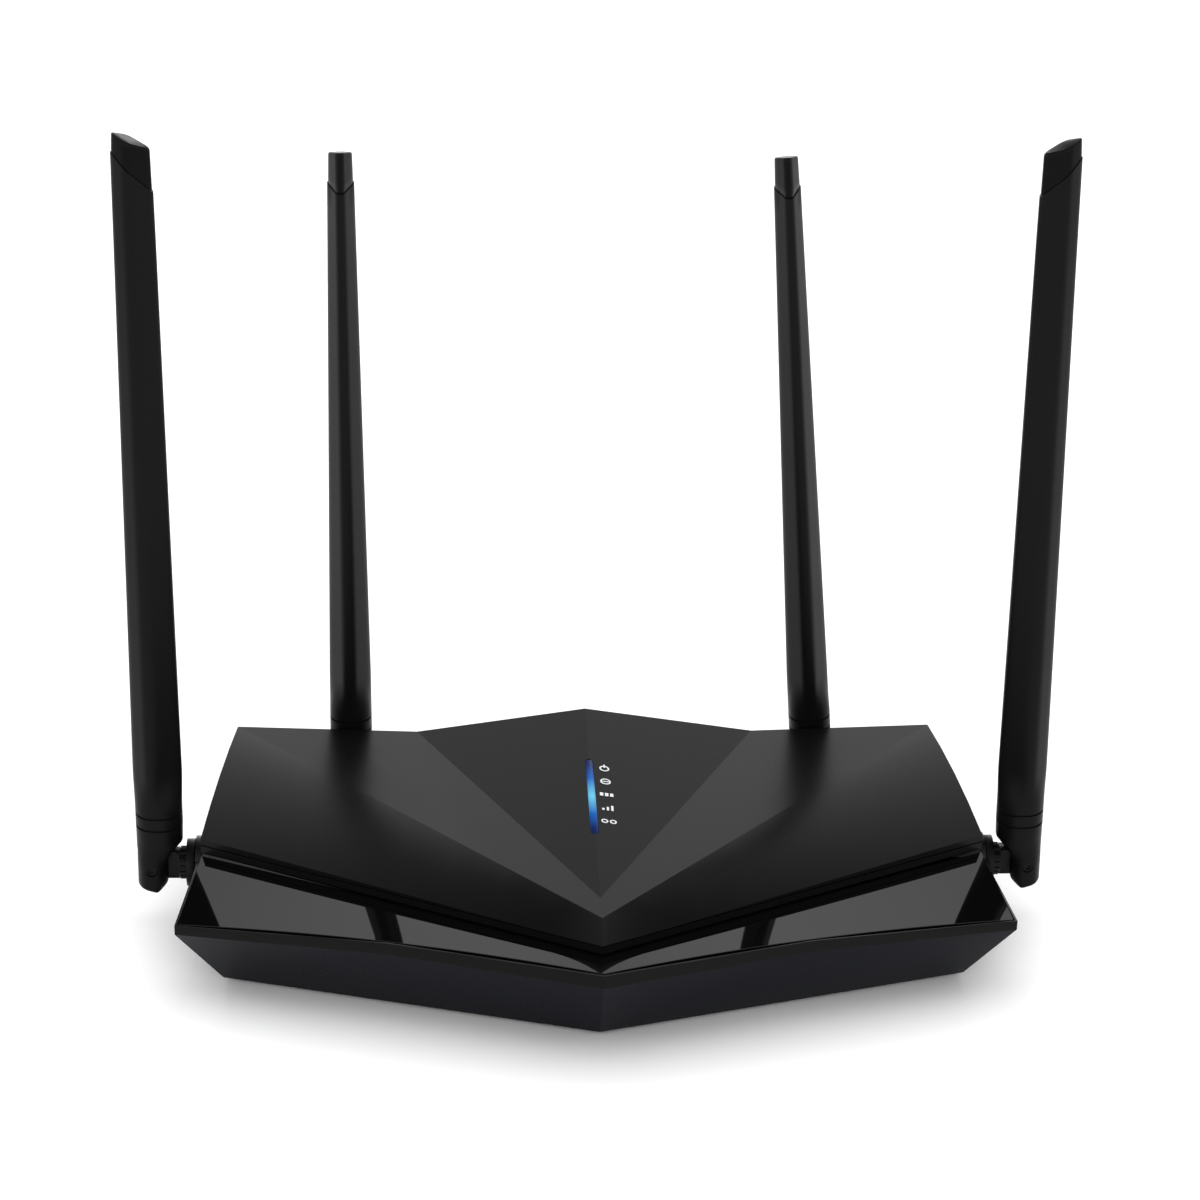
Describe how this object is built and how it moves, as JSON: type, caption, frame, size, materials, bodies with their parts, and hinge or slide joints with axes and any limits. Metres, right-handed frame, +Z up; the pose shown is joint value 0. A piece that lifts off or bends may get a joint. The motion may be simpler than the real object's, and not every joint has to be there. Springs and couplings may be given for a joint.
{
  "type": "wireless router",
  "caption": "Low faceted black desktop router with folding antennas at the sides and back, a gloss deck, a lit centre bar and network sockets.",
  "frame": {"origin": "midway between the two wall-mount keyholes, on the flat underside of the base", "axes": "+X to the object's right as seen from the front, +Y towards the ports at the back, +Z up along the upright antennas"},
  "size_m": [0.2375, 0.1343, 0.216],
  "materials": {
    "satin_black": "satin",
    "matte_black": "fine matte texture",
    "gloss_black": "mirror gloss",
    "blue_light_guide": "translucent, lit",
    "white_print": "printed ink",
    "green_board": "solder mask",
    "chip_black": "moulded",
    "heat_sink_alloy": "extruded",
    "tin_can": "tin plated",
    "capacitor_sleeve": "sleeve",
    "led_white": "moulded",
    "wan_blue": "moulded",
    "lan_yellow": "moulded",
    "gold_contact": "gold flash",
    "socket_black": "moulded",
    "screw_steel": "zinc plated",
    "foot_rubber": "soft",
    "label_film": "blank film",
    "coax_grey": "jacket",
    "button_black": "satin",
    "hinge_black": "satin",
    "antenna_black": "soft-touch",
    "tip_black": "gloss",
    "pin_grey": "dark",
    "radiator_copper": "copper"
  },
  "bodies": {
    "housing": {"base_shell": "satin_black", "top_cover": "matte_black", "front_trim": "gloss_black", "light_pipe": "blue_light_guide", "status_marks": "white_print", "circuit_board": "green_board", "main_chip": "chip_black", "heat_sink": "heat_sink_alloy", "memory_chips": "chip_black", "shield_can": "tin_can", "line_transformers": "chip_black", "capacitors": "capacitor_sleeve", "indicator_leds": "led_white", "wan_jack": "wan_blue", "lan_jack_1": "lan_yellow", "lan_jack_2": "lan_yellow", "lan_jack_3": "lan_yellow", "jack_contacts": "gold_contact", "power_inlet": "socket_black", "power_switch": "socket_black", "pair_switch": "socket_black", "board_screws": "screw_steel", "case_screws": "screw_steel", "rubber_feet": "foot_rubber", "rating_label": "label_film", "side_left_lead": "coax_grey", "side_right_lead": "coax_grey", "back_left_lead": "coax_grey", "back_right_lead": "coax_grey"},
    "power_push": {"power_button": "button_black"},
    "pair_push": {"pair_button": "button_black"},
    "side_left_swivel": {"side_left_knuckle": "hinge_black"},
    "side_left_antenna": {"side_left_blade": "antenna_black", "side_left_tip": "tip_black", "side_left_pin": "pin_grey", "side_left_radiator": "radiator_copper"},
    "side_right_swivel": {"side_right_knuckle": "hinge_black"},
    "side_right_antenna": {"side_right_blade": "antenna_black", "side_right_tip": "tip_black", "side_right_pin": "pin_grey", "side_right_radiator": "radiator_copper"},
    "back_left_swivel": {"back_left_knuckle": "hinge_black"},
    "back_left_antenna": {"back_left_blade": "antenna_black", "back_left_tip": "tip_black", "back_left_pin": "pin_grey", "back_left_radiator": "radiator_copper"},
    "back_right_swivel": {"back_right_knuckle": "hinge_black"},
    "back_right_antenna": {"back_right_blade": "antenna_black", "back_right_tip": "tip_black", "back_right_pin": "pin_grey", "back_right_radiator": "radiator_copper"}
  },
  "joints": [
    {"name": "side_left_turn", "type": "hinge", "parent": "housing", "child": "side_left_swivel", "pos_m": [-0.1146, 0.005, 0.0168], "axis": [-1, 0, 0], "range_deg": [-75, 90]},
    {"name": "side_left_fold", "type": "hinge", "parent": "side_left_swivel", "child": "side_left_antenna", "pos_m": [-0.1146, 0.005, 0.0168], "axis": [0, -1, 0], "range_deg": [0, 90]},
    {"name": "side_right_turn", "type": "hinge", "parent": "housing", "child": "side_right_swivel", "pos_m": [0.1146, 0.005, 0.0168], "axis": [1, 0, 0], "range_deg": [-90, 75]},
    {"name": "side_right_fold", "type": "hinge", "parent": "side_right_swivel", "child": "side_right_antenna", "pos_m": [0.1146, 0.005, 0.0168], "axis": [0, 1, 0], "range_deg": [0, 91.05]},
    {"name": "back_left_turn", "type": "hinge", "parent": "housing", "child": "back_left_swivel", "pos_m": [-0.0642, 0.067, 0.0135], "axis": [0, -1, 0], "range_deg": [-15.3, 89.7]},
    {"name": "back_left_fold", "type": "hinge", "parent": "back_left_swivel", "child": "back_left_antenna", "pos_m": [-0.0642, 0.067, 0.0135], "axis": [-1, 0, -0.0052], "range_deg": [0, 90]},
    {"name": "back_right_turn", "type": "hinge", "parent": "housing", "child": "back_right_swivel", "pos_m": [0.0642, 0.067, 0.0135], "axis": [0, 1, 0], "range_deg": [-10.2, 94.8]},
    {"name": "back_right_fold", "type": "hinge", "parent": "back_right_swivel", "child": "back_right_antenna", "pos_m": [0.0642, 0.067, 0.0135], "axis": [-0.9965, 0, -0.0837], "range_deg": [0, 90]},
    {"name": "power_press", "type": "slide", "parent": "housing", "child": "power_push", "axis": [0, -1, 0], "range_m": [0, 0.0018], "stiffness_N_per_m": 400},
    {"name": "pair_press", "type": "slide", "parent": "housing", "child": "pair_push", "axis": [0, -1, 0], "range_m": [0, 0.0012], "stiffness_N_per_m": 400}
  ]
}
